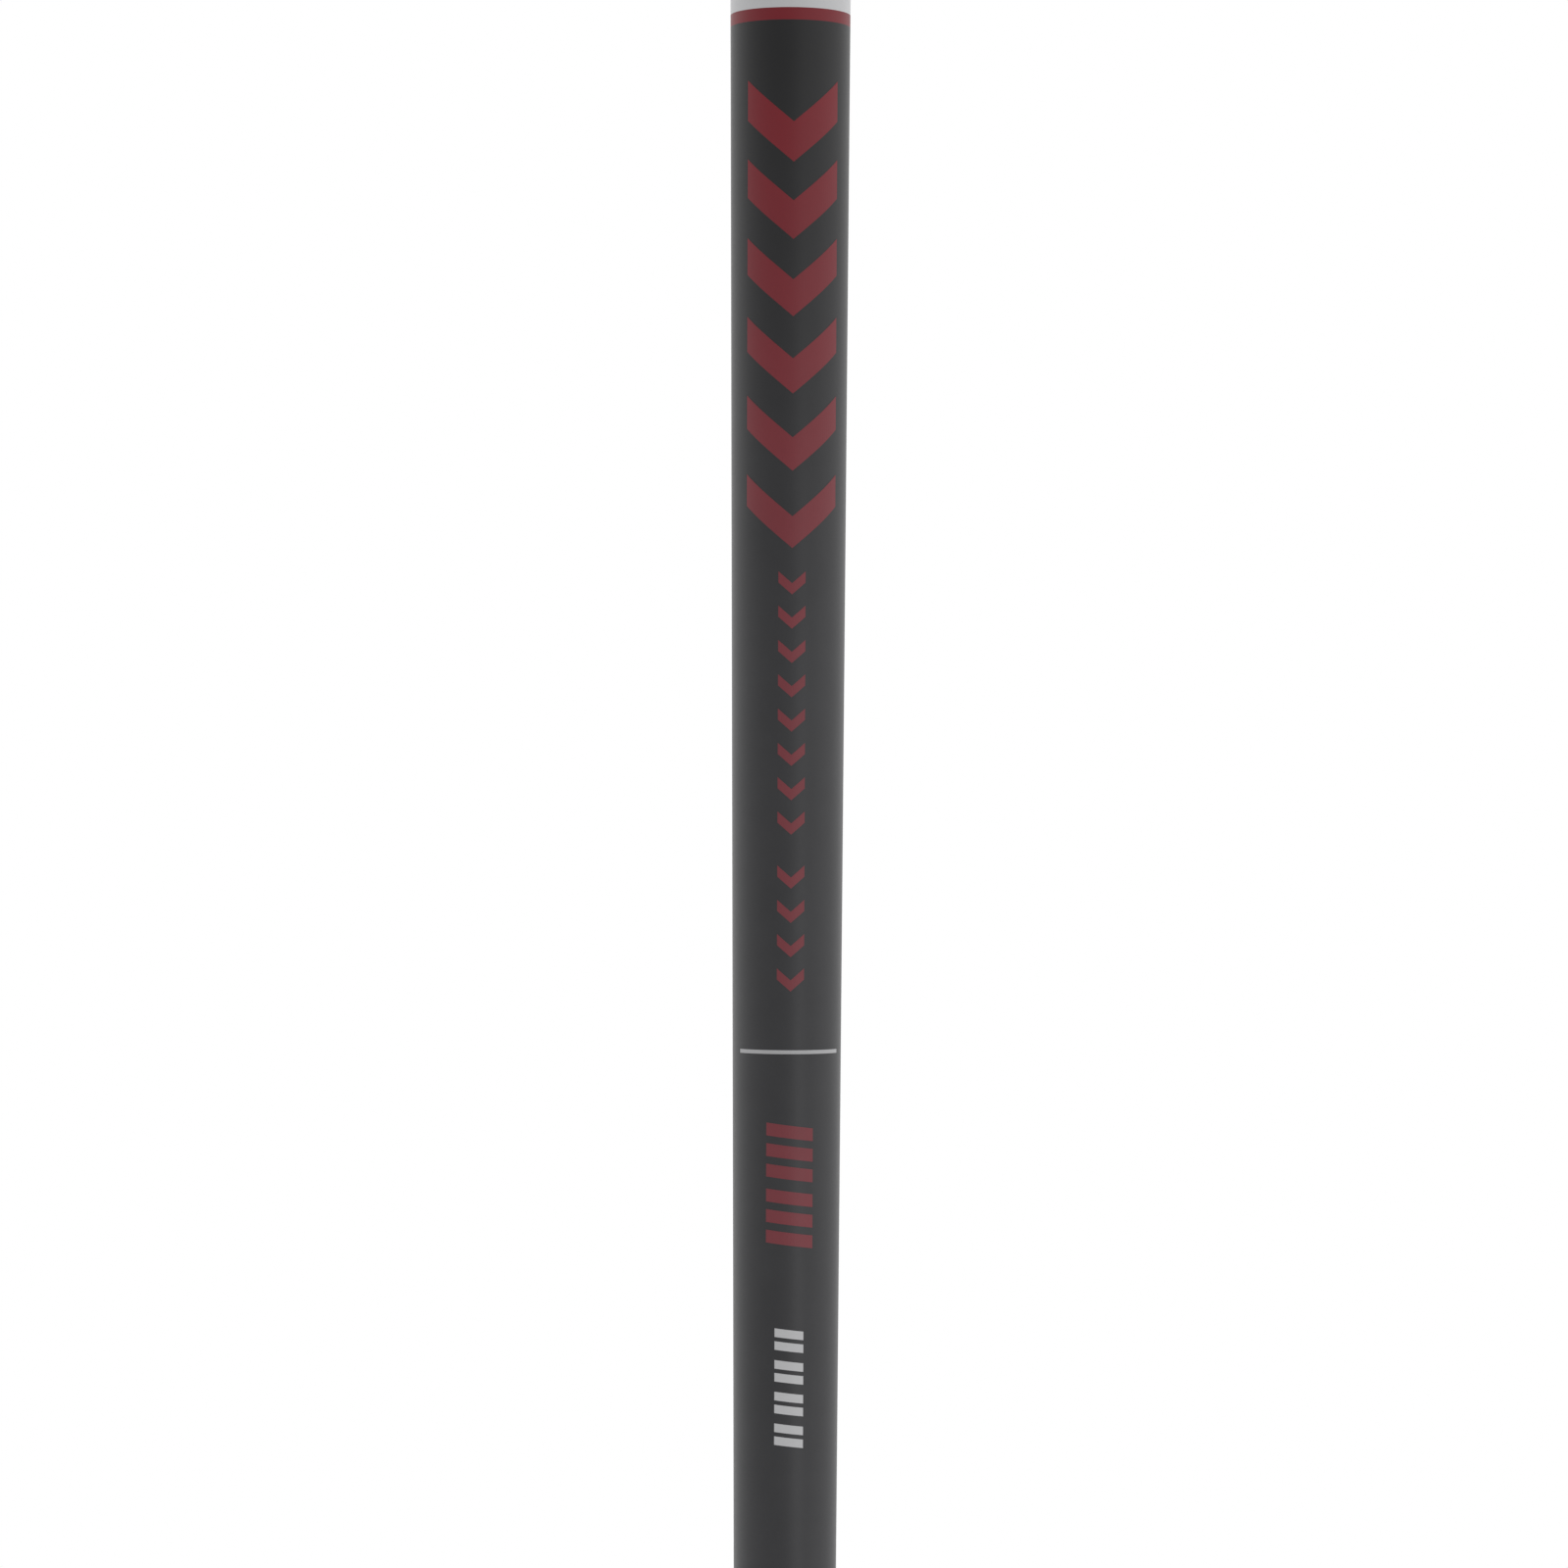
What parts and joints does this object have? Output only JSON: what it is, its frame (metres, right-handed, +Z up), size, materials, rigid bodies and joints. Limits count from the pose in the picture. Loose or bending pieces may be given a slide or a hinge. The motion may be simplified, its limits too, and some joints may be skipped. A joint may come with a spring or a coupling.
{
  "type": "golf iron",
  "caption": "Right-handed cavity-back golf iron with a tapered charcoal graphite shaft, red pinstripe and bars, rubber grip and grooved face plate.",
  "frame": {"origin": "centre of the grip cap's end face, on the shaft axis", "axes": "+Z runs up the shaft axis and out of the butt, +X points to the toe side of the head, +Y points to the target"},
  "size_m": [0.1077, 0.0439, 0.9596],
  "materials": {
    "cast_steel": "satin",
    "face_steel": "satin",
    "elastomer": "matte",
    "foam_tape": "matte",
    "dark_plastic": "satin",
    "brushed_trim": "satin",
    "red_plastic": "gloss",
    "dense_plug": "satin",
    "charcoal_graphite": "satin",
    "brass": "satin",
    "glue": "satin",
    "black_collar": "gloss",
    "bright_ring": "gloss",
    "red_ring": "gloss",
    "paper_tape": "matte",
    "grip_rubber": "matte",
    "cap_rubber": "matte"
  },
  "bodies": {
    "root": {"grip_cap": "cap_rubber", "grip_sleeve": "grip_rubber", "grip_tape": "paper_tape", "shaft": "charcoal_graphite", "tip_plug": "brass", "hosel_glue": "glue", "ferrule_top_ring": "red_ring", "ferrule": "black_collar", "ferrule_base_ring": "bright_ring", "head_body": "cast_steel", "face_plate": "face_steel", "damping_bar": "elastomer", "badge_tape": "foam_tape", "badge_carrier": "dark_plastic", "badge_trim": "brushed_trim", "badge_inlays": "red_plastic", "sole_slot_filler": "elastomer", "toe_weight": "dense_plug"}
  },
  "joints": []
}
